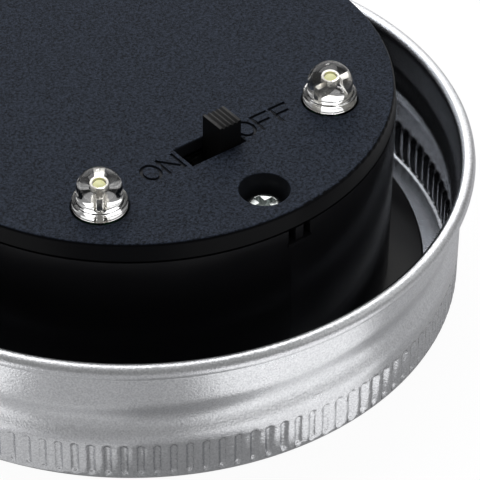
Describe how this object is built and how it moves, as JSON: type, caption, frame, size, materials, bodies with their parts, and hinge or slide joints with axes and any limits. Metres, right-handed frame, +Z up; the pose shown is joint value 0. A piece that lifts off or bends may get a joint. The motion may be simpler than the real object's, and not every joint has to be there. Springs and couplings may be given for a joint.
{
  "type": "mason jar solar lid light",
  "caption": "Round solar light insert with two clear lamps and a slide switch, held in a threaded metal screw band that closes a jar to make a lantern.",
  "frame": {"origin": "on the axis, at the underside of the screw band's lip, which stands on the table", "axes": "+Z up along the axis, towards the lamps; +X along the row of lamps and switch, from ON to OFF; on a jar the part is turned over, with +Z into the jar"},
  "size_m": [0.074, 0.074, 0.0297],
  "materials": {
    "tinplate": "satin rolled sheet",
    "gloss_black_plastic": "gloss moulded",
    "matte_black_plastic": "fine moulded texture",
    "knob_plastic": "moulded",
    "contact_brass": "pressed",
    "zinc_steel": "zinc plated",
    "phenolic": "punched sheet",
    "circuit_board": "lacquered board",
    "chip_plastic": "moulded",
    "tinned_lead": "tinned",
    "inductor_coat": "dipped coat",
    "cell_steel": "nickel plated",
    "cell_sleeve": "shrink film",
    "clear_window": "clear cast resin",
    "silicon": "polished wafer",
    "wire_red": "extruded",
    "wire_black": "extruded",
    "clear_epoxy": "cast clear epoxy",
    "phosphor": "cast resin with phosphor"
  },
  "bodies": {
    "band": {"screw_band": "tinplate"},
    "insert": {"housing": "gloss_black_plastic", "cover": "matte_black_plastic", "switch_case": "zinc_steel", "switch_base": "phenolic", "switch_terminals": "contact_brass", "circuit_board": "circuit_board", "driver_chip": "chip_plastic", "driver_chip_leads": "tinned_lead", "inductor": "inductor_coat", "inductor_leads": "tinned_lead", "cell_can": "cell_steel", "cell_sleeve": "cell_sleeve", "plus_contact": "zinc_steel", "minus_contact": "zinc_steel", "solar_window": "clear_window", "solar_cells": "silicon", "solar_board": "circuit_board", "cover_screws": "zinc_steel", "board_screws": "zinc_steel", "panel_wire_red": "wire_red", "panel_wire_black": "wire_black", "cell_wire_red": "wire_red", "cell_wire_black": "wire_black", "left_lamp_lens": "clear_epoxy", "right_lamp_lens": "clear_epoxy", "left_lamp_leads": "tinned_lead", "right_lamp_leads": "tinned_lead", "left_lamp_phosphor": "phosphor", "right_lamp_phosphor": "phosphor"},
    "knob": {"switch_knob": "knob_plastic", "switch_contact": "contact_brass"}
  },
  "joints": [
    {"name": "band_turn", "type": "hinge", "parent": "band", "child": "insert", "pos_m": [0, 0, 0], "axis": [0, 0, 1], "continuous": true},
    {"name": "switch_slide", "type": "slide", "parent": "insert", "child": "knob", "axis": [-1, 0, 0], "range_m": [0, 0.003]}
  ]
}
